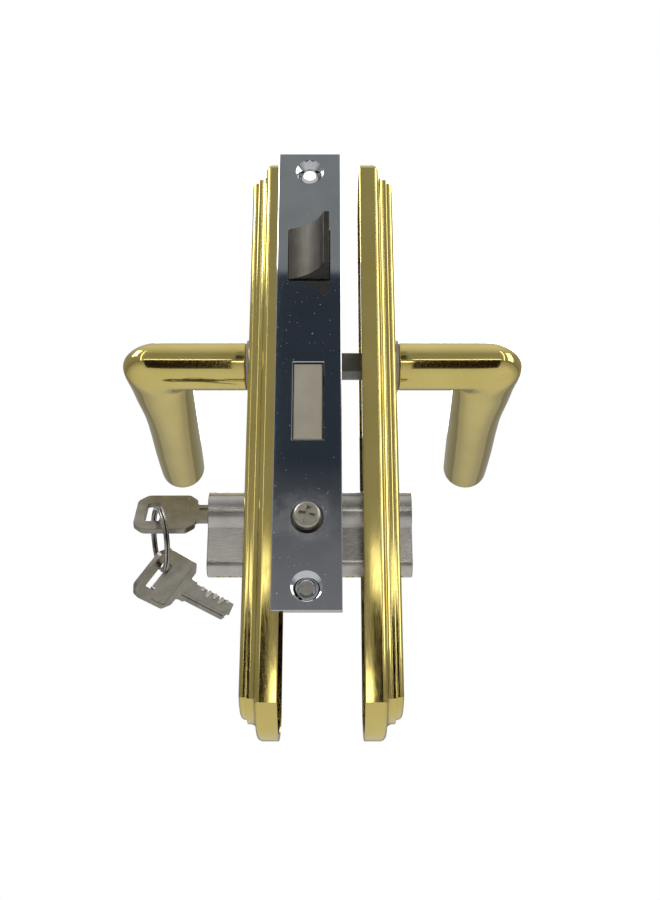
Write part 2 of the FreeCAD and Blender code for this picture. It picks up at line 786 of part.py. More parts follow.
def lever_sections(neck_end, outermost):
    # Inner edge point, outer edge point and half height of each section, from neck to tip.
    face = plate_thickness
    front_y = backset - neck_r
    corner_x = outermost - elbow_corner_r
    corner_y = front_y + elbow_corner_r
    inner_corner = V(face + grip_inner, backset + neck_r + 1.0, spindle_z)
    rings = [(V(neck_end, backset + neck_r, spindle_z), V(neck_end, front_y, spindle_z), neck_r)]
    rings.append((inner_corner + V(-0.3, -0.9, 0), V(face + grip_inner + 4.5, front_y, spindle_z), neck_r))
    for degrees in (5, 32, 60, 88):
        share = degrees / 90.0
        inner = inner_corner + V(-0.2 * (1 - share), -0.6 * (1 - share), 0)
        rings.append((inner, elbow_outer(math.radians(degrees), corner_x, corner_y), neck_r + 0.3 * share))
    grip_start = inner_corner.y + 3.0
    tip_y = backset + lever_reach
    grip_end = tip_y - grip_tip_corner_r
    for share in (0.0, 0.12, 0.3, 0.5, 0.75, 1.0):
        y = grip_start + (grip_end - grip_start) * share
        inner = face + grip_inner + (grip_tip_inner - grip_inner) * share
        waist = ease(min(1.0, share / 0.3))
        outer = outermost - 0.7 - (outermost - 0.7 - face - grip_outer_waist) * waist
        outer += (grip_tip_outer - grip_outer_waist) * ease(max(0.0, (share - 0.3) / 0.7))
        tall = neck_r + 0.3 + (grip_half_height - neck_r - 0.3) * min(1.0, share / 0.3)
        rings.append((V(inner, y, spindle_z), V(outer, y, spindle_z), tall))
    inner = face + grip_tip_inner
    outer = face + grip_tip_outer
    for degrees in (30, 55, 75, 88):
        angle = math.radians(degrees)
        pull = grip_tip_corner_r * (1 - math.cos(angle))
        y = grip_end + grip_tip_corner_r * math.sin(angle)
        tall = grip_half_height - 0.9 * pull
        rings.append((V(inner + pull, y, spindle_z), V(outer - pull, y, spindle_z), tall))
    return rings


clip_t = 8.0


def lever():
    # Drawn for the +X side, measured from the plate's back face at x = 0.
    neck_start = plate_thickness + neck_washer_thickness + 0.1
    outermost = plate_thickness + lever_projection
    neck_end = plate_thickness + grip_inner - 1.0
    neck = rod_x(backset, spindle_z, neck_r, neck_start, neck_end)
    rim = [e for e in neck.Edges if abs(e.CenterOfMass.x - neck_start) < 0.01]
    neck = neck.makeFillet(0.8, rim)
    rings = lever_sections(neck_end, outermost)
    grip = Part.makeLoft([section(*ring) for ring in rings], True, False)
    tail = rod_x(backset, spindle_z, lever_tail_r, 5.6, neck_start + 2)
    body = neck.fuse([grip, tail])
    half = spindle_side / 2 + square_gap
    socket = box(5, neck_end - 1.0, backset - half, backset + half, spindle_z - half, spindle_z + half)
    groove = rod_x(backset, spindle_z, lever_tail_r + 1, clip_t, clip_t + 1.1)
    groove = groove.cut(rod_x(backset, spindle_z, 6.9, clip_t - 1, clip_t + 2))
    return body.cut([socket, groove])


def lever_clip():
    ring = rod_x(backset, spindle_z, 10.6, clip_t + 0.05, clip_t + 1.05)
    ring = ring.cut(rod_x(backset, spindle_z, 6.95, 0, 20))
    return ring.cut(box(0, 20, backset - 3, backset + 3, spindle_z - 20, spindle_z))


def right_side(shape):
    return shifted(shape, x=plate_right_x)


def left_side(shape):
    return shifted(mirrored_x(shape), x=plate_left_x)


# ---------------------------------------------------------------- write every sub-part
save("lock_case", lock_case())
save("case_cover", case_cover())
save("case_pillars", case_pillars())
save("case_screws", case_screws())
save("guide_posts", guide_posts())
save("forend", forend())
save("latch_bolt", latch_bolt())
save("latch_tail", latch_tail())
save("latch_guide", latch_guide())
save("latch_retractor", latch_retractor())
save("latch_spring", latch_spring())
save("follower", follower())
save("spindle", spindle())
save("follower_spring", follower_spring())
save("follower_spring_seat", follower_spring_seat())
save("deadbolt", deadbolt())
save("bolt_leaf_spring", bolt_leaf_spring())
save("cylinder_body", cylinder_body())
save("plug_left", plug(-1, -key_turned))
save("plug_right", plug(1, 0.0))
save("left_key_pins", left_key_pins())
save("left_driver_pins", left_driver_pins())
save("left_pin_springs", pin_springs(-1, -12.0))
save("right_key_pins", right_key_pins())
save("right_driver_pins", right_driver_pins())
save("right_pin_springs", pin_springs(1, -10.4))
save("chamber_plugs", chamber_plugs())
save("cam", cam())
save("clutch", clutch())
save("fixing_screw", fixing_screw())
save("key_1", key_1())
save("split_ring", split_ring())
save("key_2", key_2())
for side_name, place in (("left", left_side), ("right", right_side)):
    save("plate_" + side_name, place(plate()))
    save("neck_washer_" + side_name, place(neck_washer()))
    save("lever_" + side_name, place(lever()))
    save("lever_clip_" + side_name, place(lever_clip()))
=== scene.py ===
import bpy
import bmesh
import json
import math
from mathutils import Matrix, Vector


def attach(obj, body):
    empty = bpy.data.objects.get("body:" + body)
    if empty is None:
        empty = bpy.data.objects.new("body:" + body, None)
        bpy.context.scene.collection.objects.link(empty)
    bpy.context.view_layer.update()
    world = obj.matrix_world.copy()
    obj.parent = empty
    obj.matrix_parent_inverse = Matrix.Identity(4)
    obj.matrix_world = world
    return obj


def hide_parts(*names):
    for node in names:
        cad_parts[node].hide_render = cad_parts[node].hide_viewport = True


# Mortise lock set: materials, smooth visible pieces, camera, stage and light around the fixed frame.
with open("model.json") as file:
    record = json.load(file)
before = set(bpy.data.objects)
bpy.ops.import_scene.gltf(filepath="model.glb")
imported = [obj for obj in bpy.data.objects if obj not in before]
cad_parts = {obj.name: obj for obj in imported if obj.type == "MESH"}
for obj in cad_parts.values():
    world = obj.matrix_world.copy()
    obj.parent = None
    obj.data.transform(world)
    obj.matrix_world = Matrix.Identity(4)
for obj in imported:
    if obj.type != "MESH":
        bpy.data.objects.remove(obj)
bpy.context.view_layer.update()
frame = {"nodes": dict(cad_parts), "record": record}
nodes = frame["nodes"]
MM = 0.001


# ---------------------------------------------------------------- camera
camera_data = bpy.data.cameras.new("camera")
camera_data.lens = 45.0
camera_data.sensor_width = 36.0
camera_data.clip_start = 0.01
camera = bpy.data.objects.new("camera", camera_data)
camera.location = (0.0075, -0.350, -0.1715)
camera.rotation_euler = (math.radians(90.0 + 21.7), 0.0, 0.0)
bpy.context.scene.collection.objects.link(camera)
bpy.context.scene.camera = camera


# ---------------------------------------------------------------- material helpers
def new_material(name):
    material = bpy.data.materials.new(name)
    material.use_nodes = True
    tree = material.node_tree
    tree.nodes.clear()
    output = tree.nodes.new("ShaderNodeOutputMaterial")
    shader = tree.nodes.new("ShaderNodeBsdfPrincipled")
    tree.links.new(shader.outputs["BSDF"], output.inputs["Surface"])
    return material, tree, shader


def noise(tree, scale, detail=4.0, rough=0.5, stretch=(1.0, 1.0, 1.0)):
    coords = tree.nodes.new("ShaderNodeTexCoord")
    mapping = tree.nodes.new("ShaderNodeMapping")
    mapping.inputs["Scale"].default_value = stretch
    tree.links.new(coords.outputs["Object"], mapping.inputs["Vector"])
    texture = tree.nodes.new("ShaderNodeTexNoise")
    texture.inputs["Scale"].default_value = scale
    texture.inputs["Detail"].default_value = detail
    texture.inputs["Roughness"].default_value = rough
    tree.links.new(mapping.outputs["Vector"], texture.inputs["Vector"])
    return texture.outputs["Fac"]


def ramp(tree, source, low, high, start=0.3, end=0.7):
    node = tree.nodes.new("ShaderNodeMapRange")
    node.inputs["From Min"].default_value = start
    node.inputs["From Max"].default_value = end
    node.inputs["To Min"].default_value = low
    node.inputs["To Max"].default_value = high
    tree.links.new(source, node.inputs["Value"])
    return node.outputs["Result"]


def tint(tree, factor, first, second):
    mix = tree.nodes.new("ShaderNodeMix")
    mix.data_type = "RGBA"
    mix.inputs["A"].default_value = (*first, 1.0)
    mix.inputs["B"].default_value = (*second, 1.0)
    tree.links.new(factor, mix.inputs["Factor"])
    return mix.outputs["Result"]


def bump(tree, shader, height, strength, distance):
    node = tree.nodes.new("ShaderNodeBump")
    node.inputs["Strength"].default_value = strength
    node.inputs["Distance"].default_value = distance
    tree.links.new(height, node.inputs["Height"])
    tree.links.new(node.outputs["Normal"], shader.inputs["Normal"])


materials = {}


def metal(name, dark, light, rough_low, rough_high, stretch=(1, 1, 1), grain=900.0, patch=60.0,
          bump_strength=0.08, bump_depth=0.00004, metallic=1.0):
    """A metal whose colour drifts in soft patches and whose gloss follows fine directional marks."""
    material, tree, shader = new_material(name)
    patches = noise(tree, patch, 3.0)
    marks = noise(tree, grain, 5.0, 0.65, stretch)
    tree.links.new(tint(tree, ramp(tree, patches, 0.0, 1.0), dark, light), shader.inputs["Base Color"])
    tree.links.new(ramp(tree, marks, rough_low, rough_high), shader.inputs["Roughness"])
    shader.inputs["Metallic"].default_value = metallic
    bump(tree, shader, marks, bump_strength, bump_depth)
    materials[name] = material


metal("polished_brass", (0.62, 0.505, 0.165), (0.69, 0.57, 0.205), 0.06, 0.15,
      stretch=(1, 1, 0.12), grain=1500, patch=45, bump_strength=0.05)
metal("chrome_plate", (0.54, 0.555, 0.58), (0.62, 0.64, 0.665), 0.02, 0.06,
      stretch=(1, 1, 0.3), grain=1600, patch=70, bump_strength=0.02)
metal("satin_nickel", (0.46, 0.44, 0.42), (0.56, 0.54, 0.51), 0.20, 0.30,
      stretch=(0.04, 1, 1), grain=3000, patch=120, bump_strength=0.05)
metal("key_nickel", (0.26, 0.245, 0.215), (0.36, 0.34, 0.30), 0.28, 0.40,
      stretch=(0.2, 1, 1), grain=1800, patch=200, bump_strength=0.10)
metal("ring_steel", (0.26, 0.25, 0.24), (0.42, 0.40, 0.38), 0.18, 0.30,
      stretch=(1, 1, 1), grain=1500, patch=260)
# Painted shade: the latch's satin nickel is given a near-black colour, far darker than the metal, standing
# in for the shade and dark reflections on it.
metal("latch_metal", (0.066, 0.061, 0.053), (0.100, 0.093, 0.082), 0.36, 0.50,
      stretch=(1, 1, 0.06), grain=2200, patch=120, bump_strength=0.06)
metal("bolt_metal", (0.50, 0.465, 0.38), (0.59, 0.55, 0.46), 0.40, 0.52,
      stretch=(0.06, 1, 1), grain=2200, patch=120, bump_strength=0.06)
metal("screw_steel", (0.36, 0.34, 0.29), (0.50, 0.47, 0.41), 0.26, 0.42,
      stretch=(1, 1, 1), grain=1600, patch=260)
metal("zinc_steel", (0.17, 0.165, 0.14), (0.26, 0.25, 0.22), 0.30, 0.46,
      stretch=(1, 1, 0.1), grain=1200, patch=160)
metal("spring_steel", (0.30, 0.30, 0.31), (0.44, 0.44, 0.45), 0.22, 0.34,
      stretch=(1, 1, 1), grain=1200, patch=300)
metal("cast_zinc", (0.38, 0.38, 0.37), (0.48, 0.48, 0.47), 0.42, 0.58,
      stretch=(1, 1, 1), grain=1100, patch=150, bump_strength=0.3)
metal("pin_brass", (0.56, 0.46, 0.22), (0.68, 0.57, 0.30), 0.22, 0.36,
      stretch=(1, 1, 1), grain=1400, patch=200)
metal("washer_grey", (0.30, 0.265, 0.25), (0.40, 0.355, 0.34), 0.45, 0.6,
      stretch=(1, 1, 1), grain=1400, patch=200, bump_strength=0.1, bump_depth=0.00004, metallic=0.0)


def add_chrome_wear(material):
    """Fine dust specks over the plating and a dulled halo round the cylinder's fixing screw."""
    screw_place = (0.0, 0.0, -0.056)
    ragged_depth = 0.012
    tree = material.node_tree
    shader = next(n for n in tree.nodes if n.type == "BSDF_PRINCIPLED")
    gloss = shader.inputs["Roughness"].links[0].from_socket
    coords = tree.nodes.new("ShaderNodeTexCoord")
    offset = tree.nodes.new("ShaderNodeVectorMath")
    offset.operation = "DISTANCE"
    offset.inputs[1].default_value = screw_place
    tree.links.new(coords.outputs["Object"], offset.inputs[0])
    ragged = tree.nodes.new("ShaderNodeMath")
    ragged.operation = "MULTIPLY_ADD"
    ragged.inputs[1].default_value = ragged_depth
    tree.links.new(noise(tree, 260.0, 5.0, 0.6), ragged.inputs[0])
    tree.links.new(offset.outputs["Value"], ragged.inputs[2])
    halo = ramp(tree, ragged.outputs["Value"], 0.14, 0.0, 0.0100, 0.0190)
    specks = ramp(tree, noise(tree, 1100.0, 2.0, 0.5), 0.0, 0.5, 0.70, 0.74)
    for extra in (halo, specks):
        total = tree.nodes.new("ShaderNodeMath")
        total.operation = "ADD"
        tree.links.new(gloss, total.inputs[0])
        tree.links.new(extra, total.inputs[1])
        gloss = total.outputs["Value"]
    tree.links.new(gloss, shader.inputs["Roughness"])


add_chrome_wear(materials["chrome_plate"])
slot_of = {part["node"]: part["material_slot"] for part in frame["record"]["subparts"]}
for name, obj in nodes.items():
    obj.data.materials.clear()
    obj.data.materials.append(materials[slot_of[name]])


# ---------------------------------------------------------------- mesh helpers
def sharpen(mesh, degrees):
    mesh.shade_smooth()
    mesh.set_sharp_from_angle(angle=math.radians(degrees))


def piece_from(name, mesh, node, body, degrees=35.0):
    """A visible piece that stands for one fixed node and rides on its body."""
    mesh.materials.clear()
    mesh.materials.append(materials[slot_of[node]])
    sharpen(mesh, degrees)
    obj = bpy.data.objects.new(name, mesh)
    bpy.context.scene.collection.objects.link(obj)
    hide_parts(node)
    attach(obj, body)
    return obj


def tube_mesh(name, rings, closed=False):
    """Joins rings of points, all of one count, into a tube; open ends are capped."""
    count = len(rings[0])
    mesh = bpy.data.meshes.new(name)
    points = [tuple(c * MM for c in p) for ring in rings for p in ring]
    faces = []
    last = len(rings) if closed else len(rings) - 1
    for i in range(last):
        a = i * count
        b = ((i + 1) % len(rings)) * count
        for j in range(count):
            k = (j + 1) % count
            faces.append((a + j, a + k, b + k, b + j))
    if not closed:
        faces.append(tuple(reversed(range(count))))
        faces.append(tuple((len(rings) - 1) * count + j for j in range(count)))
    mesh.from_pydata(points, [], faces)
    tidy(mesh)
    return mesh


def tidy(mesh):
    work = bmesh.new()
    work.from_mesh(mesh)
    bmesh.ops.remove_doubles(work, verts=work.verts, dist=0.000002)
    bmesh.ops.recalc_face_normals(work, faces=work.faces)
    work.to_mesh(mesh)
    work.free()


def box_mesh(x0, x1, y0, y1, z0, z1):
    ring = [(y0, z0), (y1, z0), (y1, z1), (y0, z1)]
    return tube_mesh("box", [[(x, y, z) for y, z in ring] for x in (x0, x1)])


def rod_mesh(axis, a, b, stations, steps=64):
    """A turned solid: stations are (place along the axis, radius); a and b place its centre line."""
    rings = []
    for place, radius in stations:
        ring = []
        for i in range(steps):
            t = 2 * math.pi * i / steps
            u = a + radius * math.cos(t)
            v = b + radius * math.sin(t)
            ring.append({"x": (place, u, v), "y": (u, place, v), "z": (u, v, place)}[axis])
        rings.append(ring)
    return tube_mesh("rod", rings)


def carve(mesh, cutters, bevel=0.0):
    """Cuts the cutter meshes out of a mesh, then breaks its sharp edges by the bevel width in mm."""
    obj = bpy.data.objects.new("carving", mesh)
    bpy.context.scene.collection.objects.link(obj)
    tools = []
    for cutter in cutters:
        tool = bpy.data.objects.new("cutter", cutter)
        bpy.context.scene.collection.objects.link(tool)
        tools.append(tool)
        step = obj.modifiers.new("cut", "BOOLEAN")
        step.operation = "DIFFERENCE"
        step.solver = "EXACT"
        step.object = tool
    if bevel:
        step = obj.modifiers.new("edges", "BEVEL")
        step.width = bevel * MM
        step.segments = 1
        step.limit_method = "ANGLE"
        step.angle_limit = math.radians(50.0)
    bpy.context.view_layer.update()
    result = bpy.data.meshes.new_from_object(obj.evaluated_get(bpy.context.evaluated_depsgraph_get()))
    for thing in [obj] + tools:
        bpy.data.objects.remove(thing)
    return result


def mirrored(mesh, plane_x):
    """Mirrors a piece drawn for the +X side, so that its back face stands at plane_x and it faces -X."""
    mesh.transform(Matrix.Translation((plane_x * MM, 0, 0)) @ Matrix.Scale(-1, 4, (1, 0, 0)))
    mesh.flip_normals()
    return mesh


def moved(mesh, plane_x):
    mesh.transform(Matrix.Translation((plane_x * MM, 0, 0)))
    return mesh


# ---------------------------------------------------------------- sizes shared with the fixed frame, in mm
BACKSET = 55.0
SPINDLE_Z = 25.5
CYLINDER_Z = -36.5
PLATE_T = 13.7
PLATE_HALF_WIDTH = 21.0
PLATE_ARCH_RISE = 10.0
PLATE_TOP_Z = 115.5
PLATE_BOTTOM_Z = -120.3
PLATE_SCREW_Z = (95.0, -101.0)
LEFT_X = -10.5
RIGHT_X = 19.5
NECK_R = 9.5
SPINDLE_HOLE_R = 8.05
FOOT_DROP = 19.5
SCREW_Z = CYLINDER_Z - FOOT_DROP


# ---------------------------------------------------------------- stepped plates
def plate_outline(inset, depth, arc_steps=40, side_steps=12):
    """One closed line round the plate, inset from its edge and at one depth from its back."""
    radius = (PLATE_HALF_WIDTH ** 2 + PLATE_ARCH_RISE ** 2) / (2 * PLATE_ARCH_RISE)
    half = PLATE_HALF_WIDTH - inset
    r = radius - inset
    swing = math.asin(half / r)
    top_centre = PLATE_TOP_Z - radius
    low_centre = PLATE_BOTTOM_Z + radius
    points = []
    for i in range(arc_steps + 1):
        a = -swing + 2 * swing * i / arc_steps
        points.append((depth, BACKSET + r * math.sin(a), top_centre + r * math.cos(a)))
    side_top = top_centre + r * math.cos(swing)
    side_low = low_centre - r * math.cos(swing)
    for i in range(1, side_steps):
        points.append((depth, BACKSET + half, side_top + (side_low - side_top) * i / side_steps))
    for i in range(arc_steps + 1):
        a = swing - 2 * swing * i / arc_steps
        points.append((depth, BACKSET + r * math.sin(a), low_centre - r * math.cos(a)))
    for i in range(1, side_steps):
        points.append((depth, BACKSET - half, side_low + (side_top - side_low) * i / side_steps))
    return points


def quarter(steps):
    """Evenly spaced angles over a quarter turn, without its start."""
    return [math.pi / 2 * i / steps for i in range(1, steps + 1)]


def plate_levels():
    """Inset and depth of each line: hollow back, rim, rounded bead, cove, then the panel's rounded edge."""
    wall_inset = 2.2
    bead_depth = 5.6
    levels = [(8.2, 9.2), (8.2, bead_depth), (wall_inset, bead_depth), (wall_inset, 0.25), (1.95, 0.0)]
    levels += [(0.25, 0.0), (0.0, 0.25), (0.0, bead_depth)]
    bead_r = 2.2
    for a in quarter(8):
        levels.append((bead_r * (1 - math.cos(a)), bead_depth + bead_r * math.sin(a)))
    cove_inset = 3.2
    cove_depth = 7.65
    cove_r = 2.7
    levels.append((cove_inset, cove_depth))
    for a in quarter(8):
        levels.append((cove_inset + cove_r * math.sin(a), cove_depth + cove_r * (1 - math.cos(a))))
    levels += [(5.9, 10.95), (6.0, 11.12), (6.2, 11.2), (7.15, 11.1), (7.4, 11.2)]
    top_inset = 7.4
    top_depth = 11.8
    top_r = 1.9
    levels.append((top_inset, top_depth))
    for a in quarter(8):
        levels.append((top_inset + top_r * (1 - math.cos(a)), top_depth + top_r * math.sin(a)))
    return levels


def euro_cutter(x0, x1, grow):
    """The euro cylinder's outline: a round barrel on a web with a round foot."""
    barrel_r = 8.5 + grow
    web = 5.0 + grow
    barrel_steps = 40
    foot_steps = 24
    first = -math.pi / 2 + math.asin(web / barrel_r)
    last = 1.5 * math.pi - math.asin(web / barrel_r)
    points = []
    for i in range(barrel_steps + 1):
        a = first + (last - first) * i / barrel_steps
        points.append((BACKSET + barrel_r * math.cos(a), CYLINDER_Z + barrel_r * math.sin(a)))
    for i in range(foot_steps + 1):
        a = math.pi + math.pi * i / foot_steps
        points.append((BACKSET + web * math.cos(a), SCREW_Z + web * math.sin(a)))
    return tube_mesh("euro", [[(x, y, z) for y, z in points] for x in (x0, x1)])


def plate_mesh():
    mesh = tube_mesh("plate", [plate_outline(inset, depth) for inset, depth in plate_levels()])
    through = PLATE_T + 1
    cutters = [rod_mesh("x", BACKSET, SPINDLE_Z, [(-1, SPINDLE_HOLE_R), (through, SPINDLE_HOLE_R)])]
    cutters.append(euro_cutter(-1, through, 0.5))
    screw_hole_r = 2.3
    sink = 2.1
    stations = [(-1, screw_hole_r), (PLATE_T - sink, screw_hole_r)]
    stations += [(PLATE_T, screw_hole_r + sink), (through, screw_hole_r + sink + 1)]
    for z in PLATE_SCREW_Z:
        cutters.append(rod_mesh("x", BACKSET, z, stations))
    return carve(mesh, cutters)


piece_from("trim_plate_left", mirrored(plate_mesh(), LEFT_X), "plate_left", "left_trim", 28.0)
piece_from("trim_plate_right", moved(plate_mesh(), RIGHT_X), "plate_right", "right_trim", 28.0)


# ---------------------------------------------------------------- levers
def ease(share):
    return share * share * (3 - 2 * share)


LEVER_PROJECTION = 51.0
LEVER_REACH = 119.0
GRIP_INNER = 24.6
GRIP_TIP_INNER = 30.2
GRIP_WAIST = 48.9
GRIP_HALF_HEIGHT = 10.2
TIP_CORNER_R = 7.0
NECK_END = PLATE_T + 23.6


def lever_stations():
    """Inner edge point, outer edge point and half height of each section, from the neck to the tip."""
    face = PLATE_T
    front_y = BACKSET - NECK_R
    corner_r = 11.0
    shoulder = 0.7
    outermost = face + LEVER_PROJECTION
    corner = (outermost - corner_r, front_y + corner_r)
    inner_corner = (face + GRIP_INNER, BACKSET + NECK_R + 1.0)
    stations = [((NECK_END, BACKSET + NECK_R), (NECK_END, front_y), NECK_R)]
    stations.append(((inner_corner[0] - 0.3, inner_corner[1] - 0.9), (face + 29.1, front_y), NECK_R))
    for degrees in (5, 32, 60, 88):
        share = degrees / 90.0
        a = math.radians(degrees)
        inner = (inner_corner[0] - 0.2 * (1 - share), inner_corner[1] - 0.6 * (1 - share))
        outer = (corner[0] + corner_r * math.sin(a), corner[1] - corner_r * math.cos(a))
        stations.append((inner, outer, NECK_R + 0.3 * share))
    start = inner_corner[1] + 3.0
    end = BACKSET + LEVER_REACH - TIP_CORNER_R
    waist_share = 0.3
    for share in (0.0, 0.12, 0.3, 0.5, 0.75, 1.0):
        y = start + (end - start) * share
        waist = LEVER_PROJECTION - shoulder - GRIP_WAIST
        outer = outermost - shoulder - waist * ease(min(1.0, share / waist_share))
        outer += (LEVER_PROJECTION - GRIP_WAIST) * ease(max(0.0, (share - waist_share) / (1 - waist_share)))
        tall = NECK_R + 0.3 + 0.4 * min(1.0, share / waist_share)
        inner = face + GRIP_INNER + (GRIP_TIP_INNER - GRIP_INNER) * share
        stations.append(((inner, y), (outer, y), tall))
    for degrees in (15, 30, 45, 60, 75, 88):
        a = math.radians(degrees)
        pull = TIP_CORNER_R * (1 - math.cos(a))
        y = end + TIP_CORNER_R * math.sin(a)
        inner = face + GRIP_TIP_INNER + pull
        stations.append(((inner, y), (outermost - pull, y), GRIP_HALF_HEIGHT - 0.9 * pull))
    return stations


def smooth_path(values, steps):
    """Points along a smooth curve through the given tuples, evenly many in each span."""
    result = []
    for i in range(len(values) - 1):
        before = values[max(i - 1, 0)]
        start, stop = values[i], values[i + 1]
        after = values[min(i + 2, len(values) - 1)]
        for k in range(steps):
            t = k / steps
            h1 = 2 * t ** 3 - 3 * t ** 2 + 1
            h2 = t ** 3 - 2 * t ** 2 + t
            h3 = -2 * t ** 3 + 3 * t ** 2
            h4 = t ** 3 - t ** 2
            point = []
            for a, b, c, d in zip(before, start, stop, after):
                point.append(h1 * b + h2 * (c - a) / 2 + h3 * c + h4 * (d - b) / 2)
            result.append(tuple(point))
    result.append(values[-1])
    return result


def lever_mesh():
    """A lever, neck along +X: a grooved journal, a rounded collar, neck, elbow and grip."""
    around = 72
    journal_r = 8.0
    groove_r = 6.9
    rings = []

    def ring(inner, outer, tall):
        centre = ((inner[0] + outer[0]) / 2, (inner[1] + outer[1]) / 2)
        reach = (outer[0] - centre[0], outer[1] - centre[1])
        points = []
        for i in range(around):
            a = 2 * math.pi * i / around
            points.append((centre[0] + reach[0] * math.cos(a), centre[1] + reach[1] * math.cos(a),
                           SPINDLE_Z + tall * math.sin(a)))
        rings.append(points)

    def collar(place, radius):
        ring((place, BACKSET + radius), (place, BACKSET - radius), radius)

    neck_start = PLATE_T + 1.25
    edge_r = 0.8
    collar(5.6, journal_r - 0.3)
    collar(5.9, journal_r)
    for place, radius in ((8.0, journal_r), (8.0, groove_r), (9.1, groove_r), (9.1, journal_r)):
        collar(place, radius)
    collar(neck_start, journal_r)
    collar(neck_start, NECK_R - edge_r)
    for a in quarter(5):
        collar(neck_start + edge_r * (1 - math.cos(a)), NECK_R - edge_r * (1 - math.sin(a)))
    for share in (0.25, 0.5, 0.75):
        collar(neck_start + edge_r + (NECK_END - neck_start - edge_r) * share, NECK_R)
    flat = [(*inner, *outer, tall) for inner, outer, tall in lever_stations()]
    for x0, y0, x1, y1, tall in smooth_path(flat, 6):
        ring((x0, y0), (x1, y1), tall)
    mesh = tube_mesh("lever", rings)
    half = 4.1
    socket = box_mesh(5, NECK_END - 1, BACKSET - half, BACKSET + half, SPINDLE_Z - half, SPINDLE_Z + half)
    return carve(mesh, [socket])


piece_from("handle_left", mirrored(lever_mesh(), LEFT_X), "lever_left", "left_lever", 40.0)
piece_from("handle_right", moved(lever_mesh(), RIGHT_X), "lever_right", "right_lever", 40.0)


# ---------------------------------------------------------------- forend and latch head
LATCH_HALF_WIDTH = 7.2
LATCH_LOW_Z = 33.1
LATCH_HIGH_Z = 53.9
LATCH_OUT = 12.0


def forend_mesh():
    """The faceplate, with two countersunk holes and openings for latch, deadbolt and fixing screw."""
    half_width = 11.5
    thickness = 3
    half_length = 87
    screw_z = 79.0
    countersink = [(-1, 6.15), (0, 5.15), (2.15, 2.4), (4, 2.4)]
    latch_gap = 0.2
    bolt_opening = (-5.3, 5.3, -28.5, 0.5)
    screw_opening_r = 5.2
    mesh = box_mesh(-half_width, half_width, 0, thickness, -half_length, half_length)
    cutters = [rod_mesh("y", 0, z, countersink) for z in (-screw_z, screw_z)]
    wide = LATCH_HALF_WIDTH + latch_gap
    cutters.append(box_mesh(-wide, wide, -1, 4, LATCH_LOW_Z - latch_gap, LATCH_HIGH_Z + latch_gap))
    left, right, low, high = bolt_opening
    cutters.append(box_mesh(left, right, -1, 4, low, high))
    cutters.append(rod_mesh("y", 0, SCREW_Z, [(-1, screw_opening_r), (4, screw_opening_r)]))
    return carve(mesh, cutters, 0.28)


def latch_mesh():
    """The latch head: a block with one hollow-ground slope across its -X side, out to a flat nose."""
    mesh = box_mesh(-LATCH_HALF_WIDTH, LATCH_HALF_WIDTH, -LATCH_OUT, 16, LATCH_LOW_Z, LATCH_HIGH_Z)
    nose = Vector((5.2, -LATCH_OUT))
    root = Vector((-LATCH_HALF_WIDTH, -0.5))
    slope_r = 16.0
    chord = root - nose
    outward = Vector((-chord.y, chord.x)).normalized()
    if outward.y > 0:
        outward = -outward
    centre = (nose + root) / 2 + outward * math.sqrt(slope_r ** 2 - (chord.length / 2) ** 2)
    slope = rod_mesh("z", centre.x, centre.y, [(20, slope_r), (70, slope_r)], 160)
    return carve(mesh, [slope], 0.22)


piece_from("forend_face", forend_mesh(), "forend", "lock_case", 30.0)
piece_from("latch_head", latch_mesh(), "latch_bolt", "latch", 30.0)


# ---------------------------------------------------------------- keys and split ring
BOW_LENGTH = 23.0
KEY_T = 2.2
KEY_TURNED = -36.0
KEY_1_END_X = -66.0
KEY_2_END = Vector((-59.8, 51.2, -59.0))
KEY_2_ALONG = Vector((0.454, 0.888, -0.07)).normalized()
KEY_2_DOWN = Vector((0.62, -0.258, 0.741))


def rounded(points, radii, steps=6):
    """Rounds each corner of a closed outline by its own radius."""
    result = []
    count = len(points)
    for i in range(count):
        here = Vector(points[i])
        before = Vector(points[i - 1]) - here
        after = Vector(points[(i + 1) % count]) - here
        if radii[i] == 0:
            result.append(tuple(here))
            continue
        half = before.angle(after) / 2
        back = radii[i] / math.tan(half)
        start = here + before.normalized() * back
        stop = here + after.normalized() * back
        for k in range(steps + 1):
            t = k / steps
            bend = start * (1 - t) ** 2 + here * 2 * t * (1 - t) + stop * t ** 2
            result.append(tuple(bend))
    return result


def rounded_box(x0, x1, half_height, radius):
    corners = [(x0, -half_height), (x1, -half_height), (x1, half_height), (x0, half_height)]
    return rounded(corners, [radius] * 4)


def slab_mesh(outline, y0, y1):
    """A closed XZ outline given thickness from y0 to y1."""
    return tube_mesh("slab", [[(x, y, z) for x, z in outline] for y in (y0, y1)])


